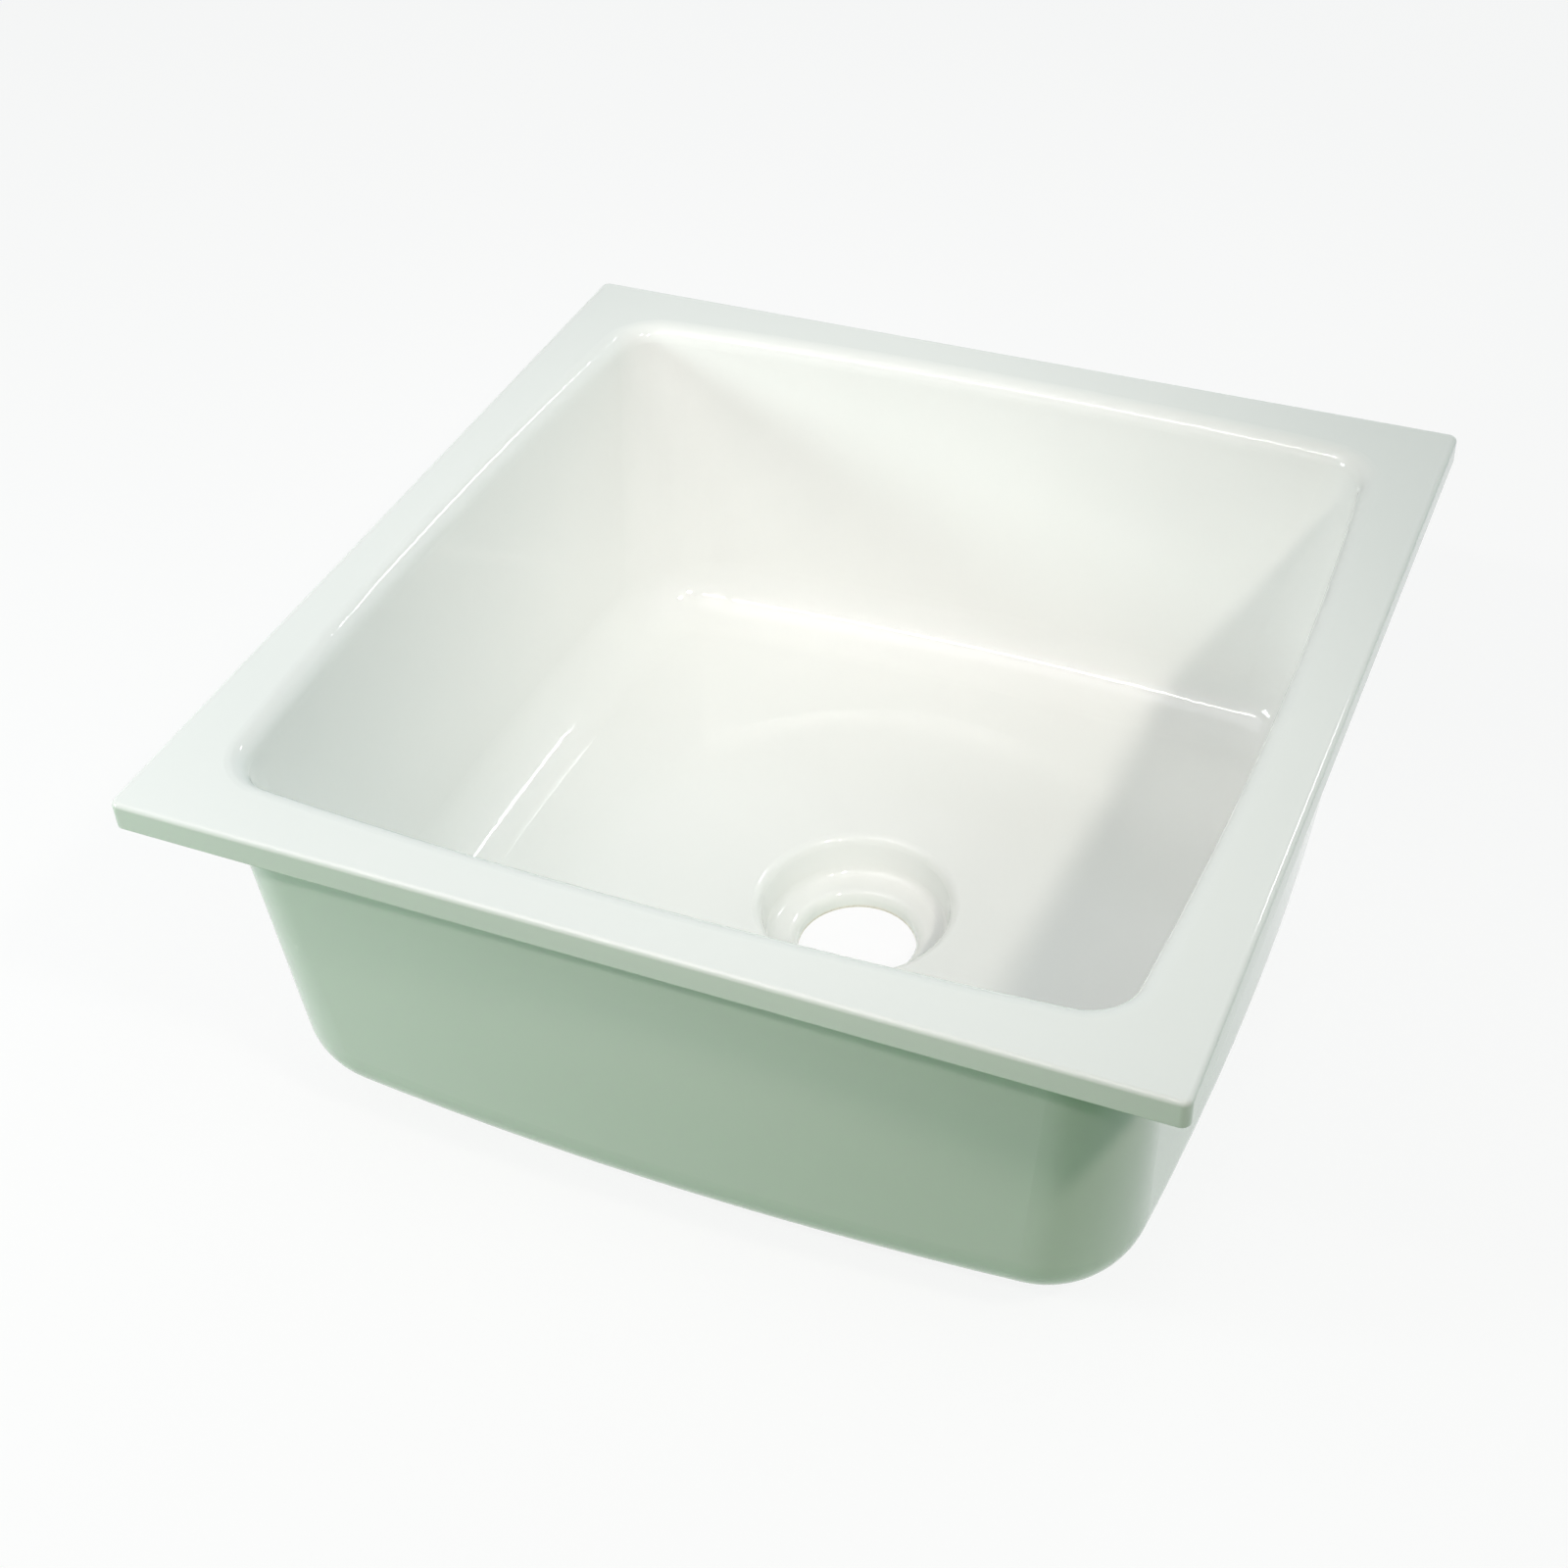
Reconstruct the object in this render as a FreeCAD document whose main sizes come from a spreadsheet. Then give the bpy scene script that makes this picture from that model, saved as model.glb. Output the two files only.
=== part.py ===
import FreeCAD, Part
import math
import os
import Sketcher

# Drop-in ceramic sink: one glazed casting, a rim seal and four side fixing clips.
# Millimetres. Origin under the centre of the foot, X along the front, Y to the back, Z up.

doc = FreeCAD.newDocument("drop_in_sink")
sheet = doc.addObject("Spreadsheet::Sheet", "Sheet")

SIZES = [
    # Rim
    ("rim_half", 200), ("rim_corner", 3.5), ("rim_thick", 12), ("rim_overhang", 12),
    ("rim_top_round", 2), ("rim_low_round", 1), ("under_rim_round", 3),
    # Heights: the base stands on the foot, the floor on the base
    ("sink_height", 180), ("foot_height", 12.5), ("floor_thick", 20.5),
    # Outside of the bowl
    ("outer_draft", 8), ("outer_swing_deg", 5), ("outer_corner_top", 34),
    ("outer_corner_base", 42), ("base_round", 36),
    # Inside of the bowl
    ("wall_thick", 13), ("inner_draft", 5), ("inner_swing_deg", 4),
    ("inner_corner_top", 16), ("inner_corner_floor", 44), ("floor_round", 26),
    ("lip_round", 8),
    # Waste outlet
    ("waste_offset", 7), ("waste_forward", 5), ("fall_margin", 5), ("fall_start", 0.12),
    ("fall_drop", 5.5), ("shoulder_radius", 41), ("recess_radius", 38.6),
    ("recess_floor", 9.5), ("ledge_height", 8), ("outlet_radius", 26),
    ("shoulder_round", 4.5), ("recess_round", 4), ("outlet_round", 4),
    ("foot_radius", 47), ("foot_root_radius", 50), ("foot_round", 3),
    ("foot_root_round", 6), ("foot_sink_in", 4),
    # Clip anchor pads on the left and right walls
    ("pad_setback", 2), ("pad_radius", 12), ("pad_depth", 6),
    ("clip_y_share", 0.475), ("clip_drop", 48),
    ("plug_hole_radius", 4), ("plug_hole_depth", 9.5),
    # Nylon wall plug
    ("plug_length", 9), ("plug_flange_radius", 6.5), ("plug_flange", 1.2),
    ("plug_bore", 2.05), ("slit_half", 0.4), ("slit_start", 2.5),
    # Toothed clip plate
    ("plate_thick", 1.5), ("plate_width", 18), ("plate_low", 15),
    ("plate_top", 24), ("crank_start", 13.5), ("crank_end", 17.5),
    ("crank_out", 4), ("slot_half_width", 3.1), ("slot_centre", 7),
    ("plate_corner", 4), ("bend_round", 1), ("tooth_depth", 2.5),
    # Slide shoe
    ("shoe_flange", 1.2), ("shoe_flange_radius", 6.5),
    ("hub_half_width", 3.05), ("hub_centre", 0.95), ("shoe_bore", 2.05),
    ("shoe_edge_round", 0.3),
    # Screw
    ("shank_radius", 2), ("shank_reach", 8), ("head_radius", 4.5),
    ("head_height", 2.6), ("head_round", 1.6), ("cross_half_width", 0.55),
    ("cross_half_length", 2.3), ("cross_depth", 1.4), ("tip_length", 1.5),
    # Rim seal
    ("seal_setback", 3.5), ("seal_width", 5), ("seal_thick", 3),
    ("seal_corner", 5), ("seal_inner_corner", 12),
    # Clearances
    ("run_gap", 0.05), ("cut_overrun", 5),
]
TOOTH_COUNT = 4
NOTCH_SHARES = (0.1, 0.5, 0.9)
CLIPS = [
    ("right_front", 1, -1), ("right_back", 1, 1),
    ("left_front", -1, -1), ("left_back", -1, 1),
]

# Sizes that follow from those in the sheet
UNDER_RIM = "sink_height - rim_thick"
FLOOR = "foot_height + floor_thick"
OUTER_TOP = "rim_half - rim_overhang"
OUTER_BASE = OUTER_TOP + " - outer_draft"
INNER_TOP = OUTER_TOP + " - wall_thick"
INNER_FLOOR = INNER_TOP + " - inner_draft"
FALL_RADIUS = INNER_FLOOR + " - floor_round - fall_margin"
PAD_FACE = OUTER_TOP + " - pad_setback"
CLIP_Y = "rim_half * clip_y_share"
CLIP_Z = "sink_height - clip_drop"
PLATE_NEAR = "plug_flange + run_gap"
PLATE_FAR = PLATE_NEAR + " + plate_thick"
SHOE_SEAT = PLATE_FAR + " + run_gap"
SCREW_SEAT = SHOE_SEAT + " + shoe_flange + run_gap"

for row, (alias, value) in enumerate(SIZES, start=1):
    sheet.set(f"A{row}", alias)
    sheet.set(f"B{row}", str(value))
    sheet.setAlias(f"B{row}", alias)
doc.recompute()


def size(expression):
    """The value of a sum of sheet names, each of them perhaps times another."""
    total = 0.0
    for term in expression.replace("- ", "+ -").split("+"):
        product = 1.0
        for word in term.split("*"):
            name = word.strip()
            sign = -1 if name.startswith("-") else 1
            product *= sign * float(sheet.get(name.lstrip("-")))
        total += product
    return total


def text(expression):
    """The same sum in the words that an object's expression takes."""
    words = expression.replace("- ", "+ -").split()
    return " ".join(w if w in "+*" else ("-" if w[0] == "-" else "") + "Sheet." + w.lstrip("-")
                    for w in words)


def vec(x, y, z=0.0):
    return FreeCAD.Vector(x, y, z)


ON_AXIS = "on the axis"


def new_body(label):
    body = doc.addObject("PartDesign::Body", label)
    body.Label = label
    return body


def plane_of(body, role):
    return next(f for f in body.Origin.OriginFeatures if f.Role == role)


def new_sketch(body, name, role, lift=None, shift=None, side=1):
    """A sketch on an origin plane, lifted along its normal and moved along its first axis."""
    sketch = body.newObject("Sketcher::SketchObject", name)
    sketch.AttachmentSupport = [(plane_of(body, role), "")]
    sketch.MapMode = "FlatFace"
    if lift:
        sketch.setExpression("AttachmentOffset.Base.z", f"{side} * ({text(lift)})")
    if shift:
        sketch.setExpression("AttachmentOffset.Base.x", text(shift))
    return sketch


def bind(sketch, name, kind, ends, expression, value=None):
    """Adds a measured constraint that follows an expression in sheet names."""
    amount = size(expression) if value is None else value
    words = text(expression) if value is None else expression
    index = sketch.addConstraint(Sketcher.Constraint(kind, *ends, amount))
    sketch.renameConstraint(index, name)
    sketch.setExpression(f"Constraints.{name}", words)


def close(sketch, ids, kind):
    """Joins each element's end to the start of the next, all round."""
    for k, this in enumerate(ids):
        after = ids[(k + 1) % len(ids)]
        sketch.addConstraint(Sketcher.Constraint(kind, this, 2, after, 1))


def pin(sketch, geometry, spot, x, y, tag):
    """Holds a sketch point at (x, y), each an expression in sheet names or ON_AXIS."""
    for kind, expression, axis in (("DistanceX", x, -2), ("DistanceY", y, -1)):
        if expression == ON_AXIS:
            sketch.addConstraint(Sketcher.Constraint("PointOnObject", geometry, spot, axis))
        else:
            bind(sketch, f"{tag}{kind[-1]}", kind, (-1, 1, geometry, spot), expression)


def point(x, y):
    return vec(*(0.0 if e == ON_AXIS else size(e) for e in (x, y)))


def pillow(body, name, lift, half, bow, corner):
    """A square of four bowed sides joined by four tangent corner arcs.

    Each side turns through the same angle either way, so walls lofted between two
    such squares stay smooth where a side meets a corner.
    """
    sketch = new_sketch(body, name, "XY_Plane", lift)
    h, small, swing = size(half), size(corner), math.radians(size(bow))
    reach = (h - small) / (1 + math.tan(swing / 2))
    big = small + reach / math.sin(swing)
    inset = big - h
    reach_words = f"({text(half)} - {text(corner)}) / (1 + tan({text(bow)} / 2))"
    side_words = f"{text(corner)} + {reach_words} / sin({text(bow)})"
    inset_words = f"{side_words} - ({text(half)})"
    quarter = math.pi / 2
    ids = []
    for k in range(4):
        turn = FreeCAD.Rotation(vec(0, 0, 1), math.degrees(quarter * k))
        side_circle = Part.Circle(turn.multVec(vec(-inset, 0)), vec(0, 0, 1), big)
        corner_circle = Part.Circle(turn.multVec(vec(reach, reach)), vec(0, 0, 1), small)
        start = quarter * k
        side = Part.ArcOfCircle(side_circle, start - swing, start + swing)
        bend = Part.ArcOfCircle(corner_circle, start + swing, start + quarter - swing)
        ids += [sketch.addGeometry(side, False), sketch.addGeometry(bend, False)]
    close(sketch, ids, "Tangent")
    for k, axis in enumerate((-1, -2, -1, -2)):
        side, bend = ids[2 * k], ids[2 * k + 1]
        sketch.addConstraint(Sketcher.Constraint("PointOnObject", side, 3, axis))
        bind(sketch, f"side{k}", "Radius", (side,), side_words, big)
        bind(sketch, f"corner{k}", "Radius", (bend,), corner)
    east, north, west, south = ids[0::2]
    bind(sketch, "east", "DistanceX", (east, 3, -1, 1), inset_words, inset)
    bind(sketch, "north", "DistanceY", (north, 3, -1, 1), inset_words, inset)
    bind(sketch, "west", "DistanceX", (-1, 1, west, 3), inset_words, inset)
    bind(sketch, "south", "DistanceY", (-1, 1, south, 3), inset_words, inset)
    return sketch


def rounded_square(sketch, half, corner, tag):
    """A square with straight sides and rounded corners, centred on the sketch."""
    h, r = size(half), size(corner)
    c = h - r
    quarter = math.pi / 2
    ids = []
    for k in range(4):
        turn = FreeCAD.Rotation(vec(0, 0, 1), math.degrees(quarter * k))
        line = Part.LineSegment(turn.multVec(vec(h, -c)), turn.multVec(vec(h, c)))
        round_corner = Part.Circle(turn.multVec(vec(c, c)), vec(0, 0, 1), r)
        bend = Part.ArcOfCircle(round_corner, quarter * k, quarter * (k + 1))
        ids += [sketch.addGeometry(line, False), sketch.addGeometry(bend, False)]
    close(sketch, ids, "Tangent")
    bind(sketch, f"{tag}_corner", "Radius", (ids[1],), corner)
    for bend in ids[3::2]:
        sketch.addConstraint(Sketcher.Constraint("Equal", ids[1], bend))
    east, north, west, south = ids[0::2]
    bind(sketch, f"{tag}_east", "DistanceX", (-1, 1, east, 1), half)
    bind(sketch, f"{tag}_north", "DistanceY", (-1, 1, north, 1), half)
    bind(sketch, f"{tag}_west", "DistanceX", (west, 1, -1, 1), half)
    bind(sketch, f"{tag}_south", "DistanceY", (south, 1, -1, 1), half)


def polygon(sketch, corners, tag="p"):
    """A closed polygon through corners given as pairs of expressions."""
    points = [point(x, y) for x, y in corners]
    ids = []
    for k, start in enumerate(points):
        end = points[(k + 1) % len(points)]
        ids.append(sketch.addGeometry(Part.LineSegment(start, end), False))
    close(sketch, ids, "Coincident")
    for k, (x, y) in enumerate(corners):
        pin(sketch, ids[k], 1, x, y, f"{tag}{k}")


def circle(sketch, radius):
    """A circle on the sketch's own origin."""
    index = sketch.addGeometry(Part.Circle(vec(0, 0), vec(0, 0, 1), size(radius)), False)
    sketch.addConstraint(Sketcher.Constraint("Coincident", index, 3, -1, 1))
    bind(sketch, "radius", "Radius", (index,), radius)


def obround(sketch, half_width, centre):
    """A slot outline along the sketch's vertical axis."""
    r, c = size(half_width), size(centre)
    up = Part.ArcOfCircle(Part.Circle(vec(0, c), vec(0, 0, 1), r), 0, math.pi)
    down = Part.ArcOfCircle(Part.Circle(vec(0, -c), vec(0, 0, 1), r), math.pi, 2 * math.pi)
    left = Part.LineSegment(vec(-r, c), vec(-r, -c))
    right = Part.LineSegment(vec(r, -c), vec(r, c))
    ids = [sketch.addGeometry(g, False) for g in (up, left, down, right)]
    close(sketch, ids, "Tangent")
    for end in (ids[0], ids[2]):
        sketch.addConstraint(Sketcher.Constraint("PointOnObject", end, 3, -2))
    bind(sketch, "up_at", "DistanceY", (-1, 1, ids[0], 3), centre)
    bind(sketch, "down_at", "DistanceY", (ids[2], 3, -1, 1), centre)
    bind(sketch, "half_width", "Radius", (ids[0],), half_width)


def extrude(body, kind, name, sketch, length=None, reverse=False, both_ways=False):
    """A pad or pocket of a length in sheet names, or right through where none is given."""
    feature = body.newObject(f"PartDesign::{kind}", name)
    feature.Profile = sketch
    if length:
        feature.setExpression("Length", text(length))
    else:
        feature.Type = "ThroughAll"
    feature.Reversed = reverse
    feature.Midplane = both_ways
    before = body.Shape.Volume if kind == "Pocket" else None
    doc.recompute()
    if before is not None and feature.Shape.Volume >= before:
        raise RuntimeError(f"{name} was not cut")


def loft(body, kind, name, sketches):
    feature = body.newObject(f"PartDesign::{kind}", name)
    feature.Profile = sketches[0]
    feature.Sections = sketches[1:]
    feature.Ruled = True
    doc.recompute()


def revolve(body, kind, name, sketch):
    feature = body.newObject(f"PartDesign::{kind}", name)
    feature.Profile = sketch
    feature.ReferenceAxis = (sketch, ["V_Axis"])
    feature.Angle = 360
    doc.recompute()


def dress_edges(body, kind, name, measure, value, wanted):
    """Rounds or bevels every edge of the body's last shape that the test picks."""
    base = body.Tip
    names = [f"Edge{i}" for i, e in enumerate(base.Shape.Edges, start=1) if wanted(e)]
    if not names:
        raise RuntimeError(f"{name}: no edge to dress")
    feature = body.newObject(f"PartDesign::{kind}", name)
    feature.Base = (base, names)
    feature.setExpression(measure, text(value))
    doc.recompute()


def round_edges(body, name, radius, wanted):
    dress_edges(body, "Fillet", name, "Radius", radius, wanted)


def at_height(edge, z):
    box = edge.BoundBox
    slack = size("run_gap")
    return abs(box.ZMin - z) < slack and abs(box.ZMax - z) < slack


def is_ring(edge, radius):
    """Whether the edge is a circle of that radius."""
    return isinstance(edge.Curve, Part.Circle) and \
        abs(edge.Curve.Radius - size(radius)) < size("run_gap")


def out_at(edge, x):
    return abs(edge.CenterOfMass.x - x) < size("run_gap")


def on_rim_edge(edge):
    middle = edge.CenterOfMass
    return max(abs(middle.x), abs(middle.y)) > size("rim_half - rim_corner")


# Sink bowl: the glazed casting
def make_bowl():
    body = new_body("sink_bowl")
    under_rim, base, floor, top = (size(e) for e in (UNDER_RIM, "foot_height", FLOOR, "sink_height"))

    low = pillow(body, "outer_low", "foot_height", OUTER_BASE, "outer_swing_deg", "outer_corner_base")
    high = pillow(body, "outer_high", UNDER_RIM, OUTER_TOP, "outer_swing_deg", "outer_corner_top")
    loft(body, "AdditiveLoft", "outer_wall", [low, high])
    rim = new_sketch(body, "rim_outline", "XY_Plane", UNDER_RIM)
    rounded_square(rim, "rim_half", "rim_corner", "rim")
    extrude(body, "Pad", "rim", rim, "rim_thick")
    round_edges(body, "base_rounding", "base_round", lambda e: at_height(e, base))

    foot = new_sketch(body, "foot_profile", "XZ_Plane", "waste_forward", "waste_offset")
    root = "foot_height + foot_sink_in"
    polygon(foot, [
        (ON_AXIS, ON_AXIS), ("foot_radius", ON_AXIS), ("foot_root_radius", "foot_height"),
        ("foot_root_radius", root), (ON_AXIS, root),
    ])
    revolve(body, "Revolution", "foot", foot)
    for side, tag in ((1, "right"), (-1, "left")):
        pads = anchor_rings(body, f"pads_{tag}", side, "pad_radius")
        extrude(body, "Pad", f"anchor_pads_{tag}", pads, "pad_depth", side > 0)

    bottom = pillow(body, "floor_outline", FLOOR, INNER_FLOOR, "inner_swing_deg", "inner_corner_floor")
    mouth = pillow(body, "mouth", "sink_height + cut_overrun", INNER_TOP,
                   "inner_swing_deg", "inner_corner_top")
    loft(body, "SubtractiveLoft", "cavity", [bottom, mouth])
    round_edges(body, "floor_rounding", "floor_round", lambda e: at_height(e, floor))
    cut_waste(body)

    rings = (
        ("shoulder_rounding", "shoulder_round", "shoulder_radius", size(FLOOR + " - fall_drop")),
        ("recess_rounding", "recess_round", "recess_radius", size("recess_floor")),
        ("outlet_rounding", "outlet_round", "outlet_radius", size("ledge_height")),
        ("foot_rounding", "foot_round", "foot_radius", 0.0),
        ("foot_root_rounding", "foot_root_round", "foot_root_radius", base),
    )
    for name, rounding, radius, z in rings:
        round_edges(body, name, rounding, lambda e: is_ring(e, radius) and at_height(e, z))
    round_edges(body, "lip_rounding", "lip_round",
                lambda e: at_height(e, top) and not on_rim_edge(e))
    round_edges(body, "rim_top_rounding", "rim_top_round",
                lambda e: at_height(e, top) and on_rim_edge(e))
    round_edges(body, "rim_low_rounding", "rim_low_round",
                lambda e: at_height(e, under_rim) and on_rim_edge(e))
    round_edges(body, "under_rim_rounding", "under_rim_round",
                lambda e: at_height(e, under_rim) and not on_rim_edge(e))

    for side, tag in ((1, "right"), (-1, "left")):
        holes = anchor_rings(body, f"plug_holes_{tag}", side, "plug_hole_radius")
        extrude(body, "Pocket", f"plug_bores_{tag}", holes, "plug_hole_depth", side < 0)
    return body


def anchor_rings(body, name, side, radius):
    """A circle at both clip positions, on the plane of a side wall's anchor pads."""
    sketch = new_sketch(body, name, "YZ_Plane", PAD_FACE, side=side)
    y, z = size(CLIP_Y), size(CLIP_Z)
    for y_sign, tag in ((1, "back"), (-1, "front")):
        ring = Part.Circle(vec(y_sign * y, z), vec(0, 0, 1), size(radius))
        index = sketch.addGeometry(ring, False)
        ends = (-1, 1, index, 3) if y_sign > 0 else (index, 3, -1, 1)
        bind(sketch, f"{tag}_y", "DistanceX", ends, CLIP_Y)
        bind(sketch, f"{tag}_z", "DistanceY", (-1, 1, index, 3), CLIP_Z)
        bind(sketch, f"{tag}_radius", "Radius", (index,), radius)
    return sketch


def cut_waste(body):
    """The floor's fall, the recess for the waste flange and the outlet, as one turned cut."""
    sketch = new_sketch(body, "waste_profile", "XZ_Plane", "waste_forward", "waste_offset")
    crest = FLOOR + " + fall_start"
    spots = [
        (ON_AXIS, crest), (FALL_RADIUS, crest),
        ("shoulder_radius", FLOOR + " - fall_drop"), ("recess_radius", "recess_floor"),
        ("outlet_radius", "ledge_height"), ("outlet_radius", "-cut_overrun"),
        (ON_AXIS, "-cut_overrun"),
    ]
    points = [point(x, y) for x, y in spots]
    run, drop = points[1].x - points[2].x, points[1].y - points[2].y
    bend = (run ** 2 + drop ** 2) / (2 * drop)
    hub = Part.Circle(vec(points[1].x, points[1].y - bend), vec(0, 0, 1), bend)
    upright = math.pi / 2
    fall = Part.ArcOfCircle(hub, upright, upright + math.asin(run / bend))
    ids = []
    for k, start in enumerate(points):
        straight = Part.LineSegment(start, points[(k + 1) % len(points)])
        ids.append(sketch.addGeometry(fall if k == 1 else straight, False))
    close(sketch, ids, "Coincident")
    for k, (x, y) in enumerate(spots):
        pin(sketch, ids[k], 1, x, y, f"p{k}")
    sketch.addConstraint(Sketcher.Constraint("Vertical", ids[1], 3, ids[1], 1))
    doc.recompute()
    before = body.Shape.Volume
    revolve(body, "Groove", "waste_cut", sketch)
    if body.Shape.Volume >= before:
        raise RuntimeError("the waste outlet was not cut")


# Rim seal: a moulded strip under the rim
def make_seal():
    body = new_body("rim_seal")
    outline = new_sketch(body, "seal_outline", "XY_Plane", UNDER_RIM + " - seal_thick")
    outside = "rim_half - seal_setback"
    rounded_square(outline, outside, "seal_corner", "outer")
    rounded_square(outline, outside + " - seal_width", "seal_inner_corner", "inner")
    extrude(body, "Pad", "seal_strip", outline, "seal_thick")
    return body


# Clip pieces, each drawn about its screw with X pointing out from the wall
def disc(body, kind, name, radius, length=None, lift=None, reverse=False):
    """A round pad or pocket about the screw's line."""
    outline = new_sketch(body, f"{name}_outline", "YZ_Plane", lift)
    circle(outline, radius)
    extrude(body, kind, name, outline, length, reverse)


def make_plug(label):
    body = new_body(label)
    disc(body, "Pad", "flange", "plug_flange_radius", "plug_flange")
    disc(body, "Pad", "shank", "plug_hole_radius", "plug_length", reverse=True)
    disc(body, "Pocket", "bore", "plug_bore", lift="plug_flange")
    slit = new_sketch(body, "slit_outline", "XZ_Plane")
    deep = "-plug_length - cut_overrun"
    polygon(slit, [(deep, "-slit_half"), ("-slit_start", "-slit_half"),
                   ("-slit_start", "slit_half"), (deep, "slit_half")])
    extrude(body, "Pocket", "slit", slit, both_ways=True)
    return body


def make_plate(label):
    body = new_body(label)
    side = new_sketch(body, "side_profile", "XZ_Plane")
    out = " + crank_out"
    polygon(side, [
        (PLATE_NEAR, "-plate_low"), (PLATE_FAR, "-plate_low"), (PLATE_FAR, "crank_start"),
        (PLATE_FAR + out, "crank_end"), (PLATE_FAR + out, "plate_top"),
        (PLATE_NEAR + out, "plate_top"), (PLATE_NEAR + out, "crank_end"),
        (PLATE_NEAR, "crank_start"),
    ])
    extrude(body, "Pad", "strip", side, "plate_width", both_ways=True)
    round_edges(body, "bend_rounding", "bend_round",
                lambda e: at_height(e, size("crank_start")) or at_height(e, size("crank_end")))
    round_edges(body, "end_rounding", "plate_corner",
                lambda e: at_height(e, size("-plate_low")) and e.BoundBox.YLength < size("run_gap"))
    slot = new_sketch(body, "slot_outline", "YZ_Plane")
    obround(slot, "slot_half_width", "slot_centre")
    extrude(body, "Pocket", "slot", slot, reverse=True)
    teeth = new_sketch(body, "teeth_outline", "YZ_Plane")
    for k in range(TOOTH_COUNT):
        cut_notch(teeth, k)
    extrude(body, "Pocket", "teeth", teeth, reverse=True)
    return body


def cut_notch(sketch, k):
    """One of the V notches that leave a row of teeth along the plate's top edge."""
    shares = [(k - TOOTH_COUNT / 2 + share) / TOOTH_COUNT for share in NOTCH_SHARES]
    heights = ("plate_top", "plate_top - tooth_depth", "plate_top")
    spots = [vec(size("plate_width") * share, size(z)) for share, z in zip(shares, heights)]
    ids = [sketch.addGeometry(Part.LineSegment(a, b), False)
           for a, b in zip(spots, spots[1:] + spots[:1])]
    close(sketch, ids, "Coincident")
    for i, (share, z) in enumerate(zip(shares, heights)):
        ends = (-1, 1, ids[i], 1)
        bind(sketch, f"n{k}{i}X", "DistanceX", ends, f"Sheet.plate_width * {share}", spots[i].x)
        bind(sketch, f"n{k}{i}Y", "DistanceY", ends, z)


def make_shoe(label):
    body = new_body(label)
    hub = new_sketch(body, "hub_outline", "YZ_Plane", PLATE_NEAR)
    obround(hub, "hub_half_width", "hub_centre")
    extrude(body, "Pad", "hub", hub, "plate_thick + run_gap")
    disc(body, "Pad", "flange", "shoe_flange_radius", "shoe_flange", SHOE_SEAT)
    crown = size(SHOE_SEAT + " + shoe_flange")
    round_edges(body, "edge_rounding", "shoe_edge_round",
                lambda e: is_ring(e, "shoe_flange_radius") and out_at(e, crown))
    disc(body, "Pocket", "bore", "shoe_bore", reverse=True)
    return body


def make_screw(label):
    body = new_body(label)
    disc(body, "Pad", "head", "head_radius", "head_height", SCREW_SEAT)
    crown = size(SCREW_SEAT + " + head_height")
    round_edges(body, "head_rounding", "head_round",
                lambda e: is_ring(e, "head_radius") and out_at(e, crown))
    disc(body, "Pad", "shank", "shank_radius", SCREW_SEAT + " + shank_reach", SCREW_SEAT, True)
    dress_edges(body, "Chamfer", "tip", "Size", "tip_length",
                lambda e: is_ring(e, "shank_radius") and out_at(e, size("-shank_reach")))
    cross = new_sketch(body, "cross_outline", "YZ_Plane", SCREW_SEAT + " + head_height")
    arm, rib = "cross_half_length", "cross_half_width"
    quarter = [(arm, rib), (rib, rib), (rib, arm)]
    signs = ((1, 1), (-1, 1), (-1, -1), (1, -1))
    corners = []
    for x_sign, y_sign in signs:
        turn = quarter if x_sign == y_sign else quarter[::-1]
        corners += [("-" * (x_sign < 0) + x, "-" * (y_sign < 0) + y) for x, y in turn]
    polygon(cross, corners)
    extrude(body, "Pocket", "cross_recess", cross, "cross_depth")
    return body


def place_clip(body, x_sign, y_sign):
    """Moves a clip piece to its anchor pad; the left wall's pieces are turned about Z."""
    turn = 0 if x_sign > 0 else 180
    body.Placement = FreeCAD.Placement(vec(0, 0, 0), FreeCAD.Rotation(vec(0, 0, 1), turn))
    body.setExpression("Placement.Base.x", f"{x_sign} * ({text(PAD_FACE)})")
    body.setExpression("Placement.Base.y", f"{y_sign} * ({text(CLIP_Y)})")
    body.setExpression("Placement.Base.z", text(CLIP_Z))


pieces = [make_bowl(), make_seal()]
makers = (("plug", make_plug), ("plate", make_plate), ("shoe", make_shoe), ("screw", make_screw))
for place, x_sign, y_sign in CLIPS:
    for piece_name, maker in makers:
        piece = maker(f"clip_{piece_name}_{place}")
        place_clip(piece, x_sign, y_sign)
        pieces.append(piece)

doc.recompute()
for obj in doc.Objects:
    if "Invalid" in obj.State or "Error" in obj.State:
        raise RuntimeError(f"{obj.Label} did not compute")

os.makedirs("parts", exist_ok=True)
for piece in pieces:
    shape = piece.Shape
    if shape.isNull() or not shape.isValid() or len(shape.Solids) != 1:
        raise RuntimeError(f"{piece.Label} is not one valid solid")
    shape.exportStep(f"parts/{piece.Label}.step")
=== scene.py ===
import math

import bpy
from mathutils import Matrix, Vector


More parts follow.
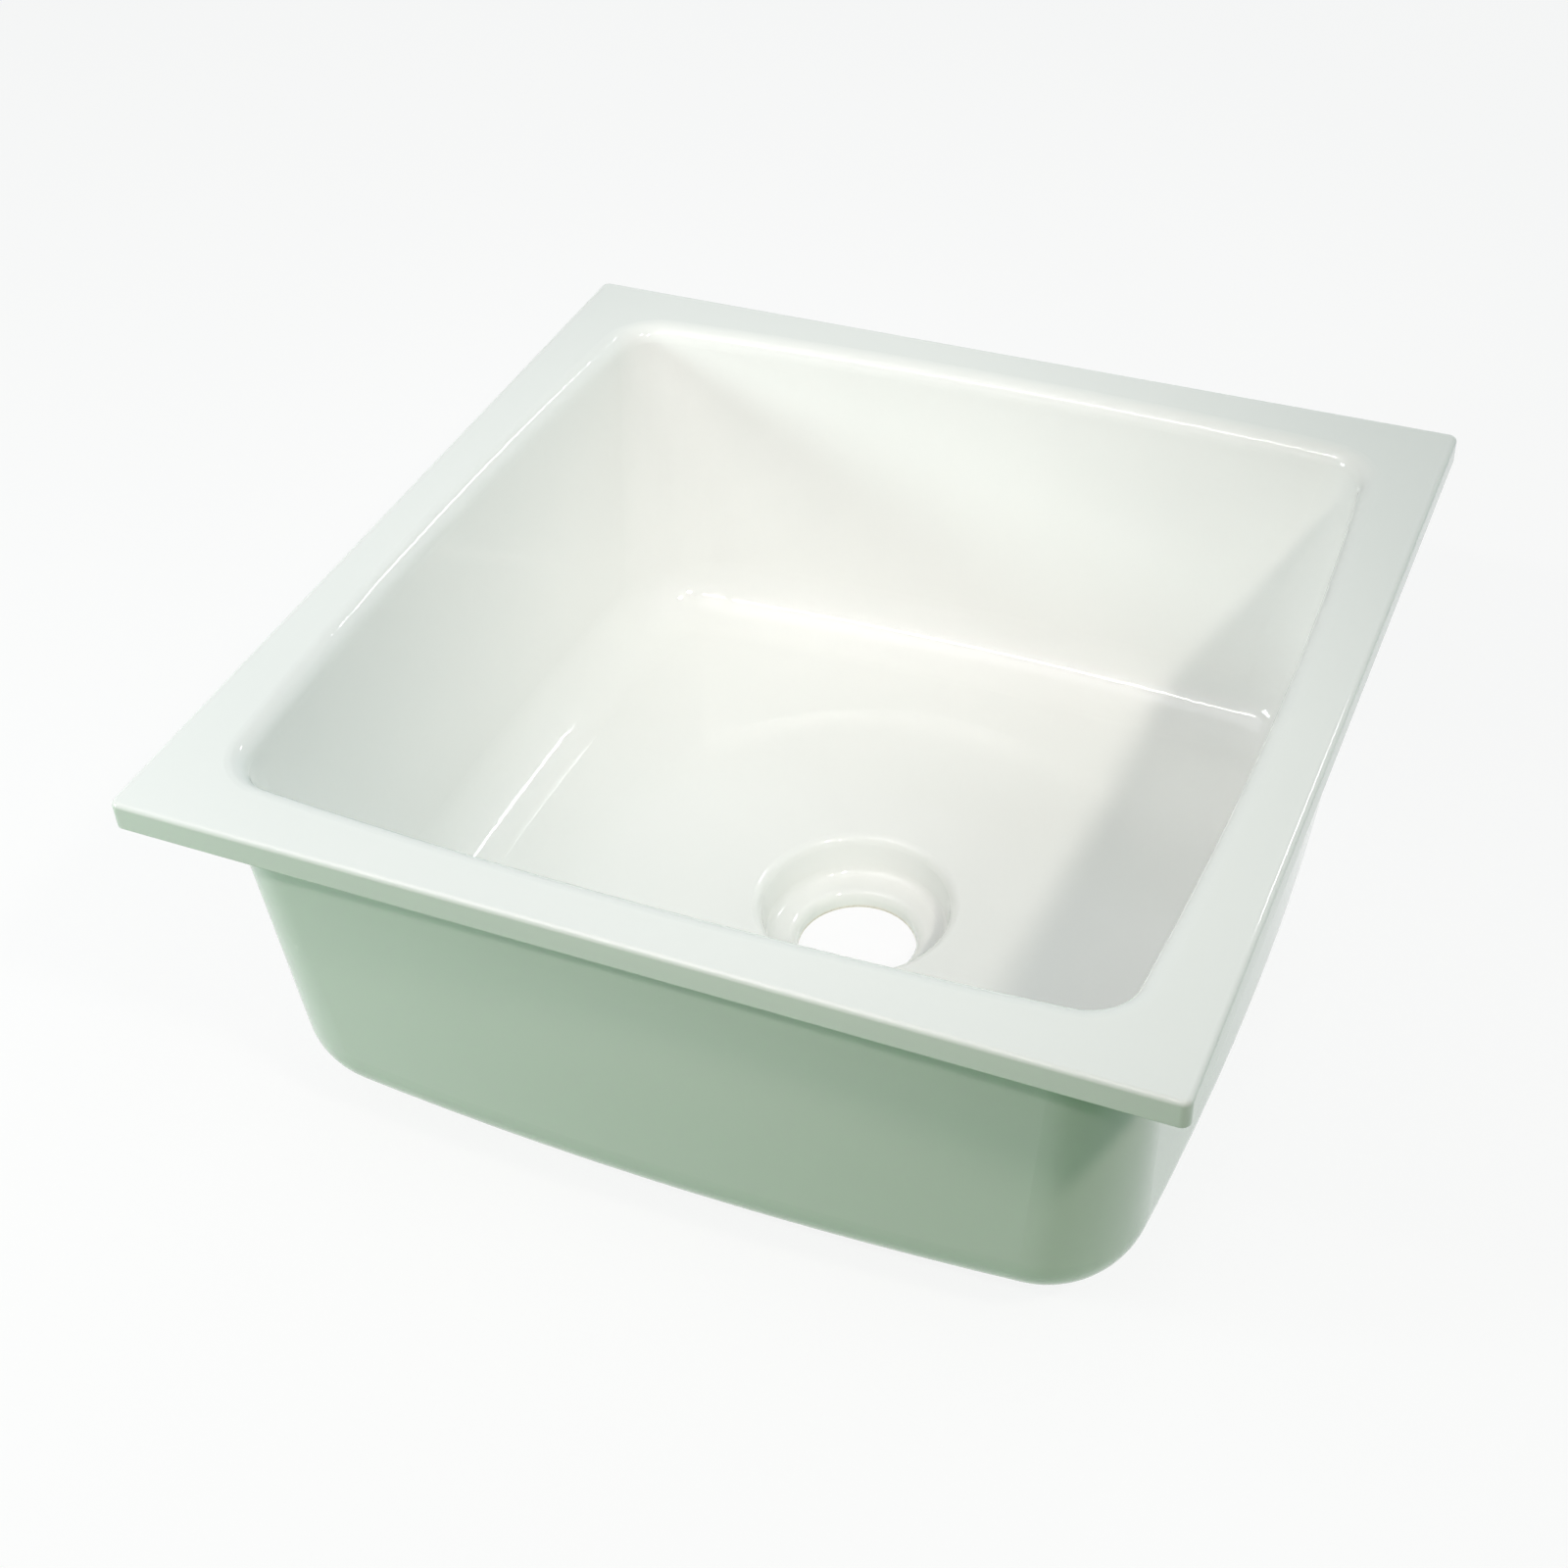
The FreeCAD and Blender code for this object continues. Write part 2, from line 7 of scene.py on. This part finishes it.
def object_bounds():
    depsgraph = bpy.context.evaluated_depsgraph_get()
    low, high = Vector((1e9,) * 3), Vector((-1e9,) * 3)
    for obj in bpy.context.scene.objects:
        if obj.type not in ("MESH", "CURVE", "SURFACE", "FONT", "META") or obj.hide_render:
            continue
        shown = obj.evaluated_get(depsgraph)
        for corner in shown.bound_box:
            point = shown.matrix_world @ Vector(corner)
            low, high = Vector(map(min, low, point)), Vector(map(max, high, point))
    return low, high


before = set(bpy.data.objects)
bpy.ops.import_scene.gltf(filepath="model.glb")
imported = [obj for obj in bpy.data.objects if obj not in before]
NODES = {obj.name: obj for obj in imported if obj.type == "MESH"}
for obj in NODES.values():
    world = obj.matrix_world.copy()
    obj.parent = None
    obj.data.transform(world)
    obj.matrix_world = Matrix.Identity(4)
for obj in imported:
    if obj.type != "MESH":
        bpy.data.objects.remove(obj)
cad_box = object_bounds()
LOW, HIGH = Vector(cad_box[0]), Vector(cad_box[1])
SCENE = bpy.context.scene
WHITE = (1.0, 1.0, 1.0, 1.0)

# Photograph's camera, solved from the corners of the square rim
IMAGE_WIDTH_PX = 1600
FOCAL_PX = 2459.5
SENSOR_MM = 36.0
CAMERA_AT = Vector((0.3028, -0.6927, HIGH.z + 0.5571))
CAMERA_AIM = Vector((0.0239, -0.1053, HIGH.z))
CAMERA_ROLL_DEG = -3.19

# Materials: a noise is (scale per metre, detail), a relief is (strength, height in metres),
# and tones are the stops of a colour ramp
GLAZE = {
    "drift": (7.0, 3.0),
    "tones": [(0.30, (0.885, 0.890, 0.875)), (0.70, (0.905, 0.908, 0.892))],
    "smear": (35.0, 3.0),
    "smear_span": (0.35, 0.70),
    "roughness": (0.045, 0.085),
    "ior": 1.52,
    "swell": (11.0, 1.0),
    "swell_relief": (1.0, 0.0004),
    "peel": (260.0, 1.0),
    "peel_relief": (1.0, 0.000012),
}
GROUND_FOOT = {
    "edge_heights": (0.0004, 0.0016),
    "grain": (900.0, 4.0),
    "tones": [(0.35, (0.66, 0.61, 0.52)), (0.65, (0.78, 0.74, 0.66))],
    "roughness": 0.75,
}
RUBBER = {
    "cells": (1400.0, 3.0),
    "tones": [(0.3, (0.018, 0.018, 0.019)), (0.7, (0.040, 0.040, 0.041))],
    "roughness": 0.82,
    "relief": (0.6, 0.0002),
}
NYLON = {
    "skin": (900.0, 3.0),
    "skin_span": (0.3, 0.7),
    "roughness": (0.38, 0.52),
    "scatter": 0.08,
    "scatter_radius": (0.0012, 0.0010, 0.0008),
    "relief": (0.25, 0.00005),
}
PLUG_TONES = ((0.42, 0.43, 0.43), (0.52, 0.53, 0.52))
SHOE_TONES = ((0.030, 0.031, 0.033), (0.060, 0.061, 0.064))
ZINC = {
    "lines": (260.0, 4.0),
    "lines_span": (0.30, 0.72),
    "roughness": (0.24, 0.42),
    "bloom": (120.0, 3.0),
    "tones": [(0.30, (0.60, 0.61, 0.65)), (0.52, (0.66, 0.66, 0.66)), (0.75, (0.70, 0.68, 0.60))],
    "relief": (0.35, 0.00004),
}
ROLLED_STRETCH = (1.0, 8.0, 0.4)
PLAIN_STRETCH = (1.0, 1.0, 1.0)

# Lamps: the spot that each one faces, the way and distance to it, its size, power and colour
SPOTS = {
    "key": {"aim": (0, 0, HIGH.z), "way": (0.564, -0.339, 0.753), "away": 1.8,
            "cone_deg": 40, "power": 28, "tint": (1.0, 0.93, 0.82)},
    "snoot": {"aim": (-0.01, 0.045, HIGH.z + 0.02), "way": (0.47, -0.63, 0.63), "away": 1.8,
              "cone_deg": 12.5, "power": 40, "tint": (1.0, 0.95, 0.92)},
}
SPOT_BLEND = 0.5
SPOT_RADIUS = 0.09
SOFT_BOXES = {
    "top": {"aim": (-0.20, -0.10, HIGH.z), "way": (-0.15, -0.32, 0.94), "away": 0.6,
            "sides": (0.5, 0.5), "power": 1.2, "tint": (1.0, 0.955, 1.0)},
    "side": {"aim": (-0.15, -0.2, 0.12), "way": (-0.80, -0.45, 0.40), "away": 1.0,
             "sides": (0.25, 0.25), "power": 4.6, "tint": (0.88, 1.0, 0.97)},
    "back": {"aim": (-0.13, 0, 0.03), "way": (0.27, 0.65, 0.71), "away": 1.5,
             "sides": (0.06, 0.22), "power": 1.1, "tint": (0.96, 1.0, 1.0)},
    "tube": {"aim": (-0.5, 0, 0.12), "way": (0, -0.64, 0.77), "away": 2.0,
             "sides": (1.5, 0.09), "power": 8, "tint": (1.0, 0.97, 0.90)},
}

# Sky: a dim even surround and soft bright patches, each with its azimuth, elevation and strength
SURROUND = (0.68, 0.95, 0.84, 1.0)
SURROUND_STRENGTH = 0.03
PATCHES = [(0, 50, 0.7), (72, 19, 1.2), (115, 36, 0.2)]
PATCH_TINT = (0.76, 1.0, 1.0, 1.0)
PATCH_EDGES_DEG = (38.0, 6.0)

# Floor: pale to the camera; the light that it throws back fades from green to pale over a span of y
FLOOR_SIZE = 12.0
FLOOR_ROUGHNESS = 0.9
FLOOR_PALE = (0.92, 0.92, 0.92, 1.0)
FLOOR_BOUNCE = (0.12, 0.37, 0.12, 1.0)
FLOOR_FADE_SPAN = (-0.25, 0.10)
FLOOR_WHITE_SHARE = 0.87

# Sockets of a Mix node, by number, because its plain and its colour sockets share their names
FACTOR = 0
PLAIN_A, PLAIN_B, PLAIN_OUT = 2, 3, 0
COLOUR_A, COLOUR_B, COLOUR_OUT = 6, 7, 2


def link(tree, source, out, target, into):
    tree.links.new(source.outputs[out], target.inputs[into])


def new_material(name):
    """A node material with its tree, its shader and object-space coordinates."""
    material = bpy.data.materials.new(name)
    material.use_nodes = True
    tree = material.node_tree
    shader = tree.nodes["Principled BSDF"]
    place = tree.nodes.new("ShaderNodeTexCoord")
    return material, tree, shader, place


def noise(tree, place, scale, detail, out="Object"):
    node = tree.nodes.new("ShaderNodeTexNoise")
    node.inputs["Scale"].default_value = scale
    node.inputs["Detail"].default_value = detail
    link(tree, place, out, node, "Vector")
    return node


def ramp(tree, source, stops):
    """A colour ramp over a noise; each stop is (position, colour)."""
    node = tree.nodes.new("ShaderNodeValToRGB")
    while len(node.color_ramp.elements) < len(stops):
        node.color_ramp.elements.new(0.5)
    for element, (at, colour) in zip(node.color_ramp.elements, stops):
        element.position = at
        element.color = (*colour, 1.0)
    link(tree, source, "Fac", node, "Fac")
    return node


def band(tree, source, out, span, onto):
    """Maps a value from one span onto another, held at its ends."""
    node = tree.nodes.new("ShaderNodeMapRange")
    for name, value in zip(("From Min", "From Max", "To Min", "To Max"), (*span, *onto)):
        node.inputs[name].default_value = value
    link(tree, source, out, node, "Value")
    return node


def bump(tree, shader, source, relief, before=None):
    """Raises a noise as relief, on top of an earlier bump if there is one."""
    node = tree.nodes.new("ShaderNodeBump")
    node.inputs["Strength"].default_value, node.inputs["Distance"].default_value = relief
    link(tree, source, "Fac", node, "Height")
    if before:
        link(tree, before, "Normal", node, "Normal")
    link(tree, node, "Normal", shader, "Normal")
    return node


def coordinates(tree, place):
    """The separate X, Y and Z of a point in its object's space."""
    node = tree.nodes.new("ShaderNodeSeparateXYZ")
    link(tree, place, "Object", node, "Vector")
    return node


def larger(tree, first, first_out, second, second_out):
    """The larger of two values."""
    node = tree.nodes.new("ShaderNodeMath")
    node.operation = "MAXIMUM"
    link(tree, first, first_out, node, 0)
    link(tree, second, second_out, node, 1)
    return node


def mix_shaders(tree, factor, out, first, second):
    node = tree.nodes.new("ShaderNodeMixShader")
    link(tree, factor, out, node, 0)
    link(tree, first, 0, node, 1)
    link(tree, second, 0, node, 2)
    return node


def ceramic_material():
    """White gloss glaze, faintly uneven, over a buff body that shows on the ground foot."""
    material, tree, shader, place = new_material("white_glaze")
    height = coordinates(tree, place)
    foot = band(tree, height, "Z", GROUND_FOOT["edge_heights"], (1.0, 0.0))
    glaze = ramp(tree, noise(tree, place, *GLAZE["drift"]), GLAZE["tones"])
    body = ramp(tree, noise(tree, place, *GROUND_FOOT["grain"]), GROUND_FOOT["tones"])
    tone = tree.nodes.new("ShaderNodeMix")
    tone.data_type = "RGBA"
    link(tree, foot, "Result", tone, FACTOR)
    link(tree, glaze, "Color", tone, COLOUR_A)
    link(tree, body, "Color", tone, COLOUR_B)
    link(tree, tone, COLOUR_OUT, shader, "Base Color")
    smear = noise(tree, place, *GLAZE["smear"])
    gloss = band(tree, smear, "Fac", GLAZE["smear_span"], GLAZE["roughness"])
    rough = tree.nodes.new("ShaderNodeMix")
    link(tree, foot, "Result", rough, FACTOR)
    link(tree, gloss, "Result", rough, PLAIN_A)
    rough.inputs[PLAIN_B].default_value = GROUND_FOOT["roughness"]
    link(tree, rough, PLAIN_OUT, shader, "Roughness")
    shader.inputs["IOR"].default_value = GLAZE["ior"]
    swell = bump(tree, shader, noise(tree, place, *GLAZE["swell"]), GLAZE["swell_relief"])
    bump(tree, shader, noise(tree, place, *GLAZE["peel"]), GLAZE["peel_relief"], swell)
    return material


def rubber_material():
    """Black cellular sealing rubber."""
    material, tree, shader, place = new_material("seal_rubber")
    cells = noise(tree, place, *RUBBER["cells"])
    link(tree, ramp(tree, cells, RUBBER["tones"]), "Color", shader, "Base Color")
    shader.inputs["Roughness"].default_value = RUBBER["roughness"]
    bump(tree, shader, cells, RUBBER["relief"])
    return material


def nylon_material(name, tones):
    """Moulded nylon with a fine matt skin, between a dark and a light tone."""
    material, tree, shader, place = new_material(name)
    skin = noise(tree, place, *NYLON["skin"])
    tone = ramp(tree, skin, list(zip(NYLON["skin_span"], tones)))
    link(tree, tone, "Color", shader, "Base Color")
    wear = band(tree, skin, "Fac", NYLON["skin_span"], NYLON["roughness"])
    link(tree, wear, "Result", shader, "Roughness")
    shader.inputs["Subsurface Weight"].default_value = NYLON["scatter"]
    shader.inputs["Subsurface Radius"].default_value = NYLON["scatter_radius"]
    bump(tree, shader, skin, NYLON["relief"])
    return material


def zinc_material(name, stretch):
    """Bright zinc plating with rolling lines and the faint tints of its passivation."""
    material, tree, shader, place = new_material(name)
    scale = tree.nodes.new("ShaderNodeMapping")
    scale.inputs["Scale"].default_value = stretch
    link(tree, place, "Object", scale, "Vector")
    lines = noise(tree, scale, *ZINC["lines"], out="Vector")
    bloom = noise(tree, place, *ZINC["bloom"])
    link(tree, ramp(tree, bloom, ZINC["tones"]), "Color", shader, "Base Color")
    shader.inputs["Metallic"].default_value = 1.0
    sheen = band(tree, lines, "Fac", ZINC["lines_span"], ZINC["roughness"])
    link(tree, sheen, "Result", shader, "Roughness")
    bump(tree, shader, lines, ZINC["relief"])
    return material


def dress(prefix, material):
    """Gives a material to every CAD node whose name starts with the prefix."""
    for name, obj in NODES.items():
        if name.startswith(prefix):
            obj.data.materials.clear()
            obj.data.materials.append(material)


def white_rays(tree, path):
    """1 for the rays that meet a white backdrop: from the camera, mirrored or let through."""
    mirrored = larger(tree, path, "Is Camera Ray", path, "Is Glossy Ray")
    return larger(tree, mirrored, 0, path, "Is Transmission Ray")


def add_floor():
    """A pale floor that shows nearly white, with a soft shadow, and is clear from below.

    In front of the object it throws a green light back, as in the photograph.
    """
    bpy.ops.mesh.primitive_plane_add(size=FLOOR_SIZE, location=(0, 0, LOW.z))
    floor = bpy.context.object
    floor.name = "floor"
    material, tree, shader, place = new_material("pale_floor")
    shader.inputs["Roughness"].default_value = FLOOR_ROUGHNESS
    shader.inputs["Specular IOR Level"].default_value = 0.0
    path = tree.nodes.new("ShaderNodeLightPath")
    behind = band(tree, coordinates(tree, place), "Y", FLOOR_FADE_SPAN, (0.0, 1.0))
    tone = tree.nodes.new("ShaderNodeMix")
    tone.data_type = "RGBA"
    tone.inputs[COLOUR_A].default_value = FLOOR_BOUNCE
    tone.inputs[COLOUR_B].default_value = FLOOR_PALE
    link(tree, larger(tree, path, "Is Camera Ray", behind, "Result"), 0, tone, FACTOR)
    link(tree, tone, COLOUR_OUT, shader, "Base Color")
    share = tree.nodes.new("ShaderNodeMath")
    share.operation = "MULTIPLY"
    link(tree, white_rays(tree, path), 0, share, 0)
    share.inputs[1].default_value = FLOOR_WHITE_SHARE
    white = tree.nodes.new("ShaderNodeEmission")
    lit = mix_shaders(tree, share, 0, shader, white)
    side = tree.nodes.new("ShaderNodeNewGeometry")
    clear = tree.nodes.new("ShaderNodeBsdfTransparent")
    surface = mix_shaders(tree, side, "Backfacing", lit, clear)
    link(tree, surface, 0, tree.nodes["Material Output"], "Surface")
    floor.data.materials.append(material)


def set_world():
    """White to the camera and in reflections; as light, a dim surround with soft bright patches."""
    world = bpy.data.worlds.new("studio")
    world.use_nodes = True
    tree = world.node_tree
    light = tree.nodes["Background"]
    light.inputs["Color"].default_value = SURROUND
    light.inputs["Strength"].default_value = SURROUND_STRENGTH
    place = tree.nodes.new("ShaderNodeTexCoord")
    edges = [math.cos(math.radians(edge)) for edge in PATCH_EDGES_DEG]
    for azimuth, elevation, strength in PATCHES:
        turn, lift = math.radians(azimuth), math.radians(elevation)
        flat = math.cos(lift)
        along = tree.nodes.new("ShaderNodeVectorMath")
        along.operation = "DOT_PRODUCT"
        along.inputs[1].default_value = (flat * math.cos(turn), flat * math.sin(turn), math.sin(lift))
        link(tree, place, "Generated", along, 0)
        glow = band(tree, along, "Value", edges, (0.0, strength))
        glow.interpolation_type = "SMOOTHSTEP"
        patch = tree.nodes.new("ShaderNodeBackground")
        patch.inputs["Color"].default_value = PATCH_TINT
        link(tree, glow, "Result", patch, "Strength")
        both = tree.nodes.new("ShaderNodeAddShader")
        link(tree, light, 0, both, 0)
        link(tree, patch, 0, both, 1)
        light = both
    white = tree.nodes.new("ShaderNodeBackground")
    white.inputs["Color"].default_value = WHITE
    path = tree.nodes.new("ShaderNodeLightPath")
    surface = mix_shaders(tree, white_rays(tree, path), 0, light, white)
    link(tree, surface, 0, tree.nodes["World Output"], "Surface")
    SCENE.world = world


def place_lamp(data, lamp):
    """Puts a lamp at its distance from the spot that it faces."""
    data.energy = lamp["power"]
    data.color = lamp["tint"]
    obj = bpy.data.objects.new(data.name, data)
    way = Vector(lamp["way"]).normalized()
    obj.location = Vector(lamp["aim"]) + way * lamp["away"]
    obj.rotation_euler = way.to_track_quat("Z", "Y").to_euler()
    SCENE.collection.objects.link(obj)


def add_spot(name, lamp):
    """A small lamp whose cone keeps its light to the spot that it faces."""
    data = bpy.data.lights.new(name, "SPOT")
    data.spot_size = math.radians(lamp["cone_deg"])
    data.spot_blend = SPOT_BLEND
    data.shadow_soft_size = SPOT_RADIUS
    place_lamp(data, lamp)


def add_soft_box(name, lamp):
    """A flat lamp with two sides."""
    data = bpy.data.lights.new(name, "AREA")
    data.shape = "RECTANGLE"
    data.size, data.size_y = lamp["sides"]
    place_lamp(data, lamp)


def add_camera():
    """The photograph's camera."""
    data = bpy.data.cameras.new("camera")
    data.sensor_width = SENSOR_MM
    data.sensor_fit = "HORIZONTAL"
    data.lens = SENSOR_MM * FOCAL_PX / IMAGE_WIDTH_PX
    obj = bpy.data.objects.new("camera", data)
    look = (CAMERA_AIM - CAMERA_AT).to_track_quat("-Z", "Y").to_matrix().to_4x4()
    roll = Matrix.Rotation(math.radians(CAMERA_ROLL_DEG), 4, "Z")
    obj.matrix_world = Matrix.Translation(CAMERA_AT) @ look @ roll
    SCENE.collection.objects.link(obj)
    SCENE.camera = obj


dress("sink_bowl", ceramic_material())
dress("rim_seal", rubber_material())
dress("clip_plug", nylon_material("plug_nylon", PLUG_TONES))
dress("clip_shoe", nylon_material("shoe_nylon", SHOE_TONES))
dress("clip_plate", zinc_material("zinc_plate", ROLLED_STRETCH))
dress("clip_screw", zinc_material("zinc_screw", PLAIN_STRETCH))

add_floor()
set_world()
for lamp_name, lamp in SPOTS.items():
    add_spot(lamp_name, lamp)
for lamp_name, lamp in SOFT_BOXES.items():
    add_soft_box(lamp_name, lamp)
add_camera()
SCENE.view_settings.view_transform = "Standard"
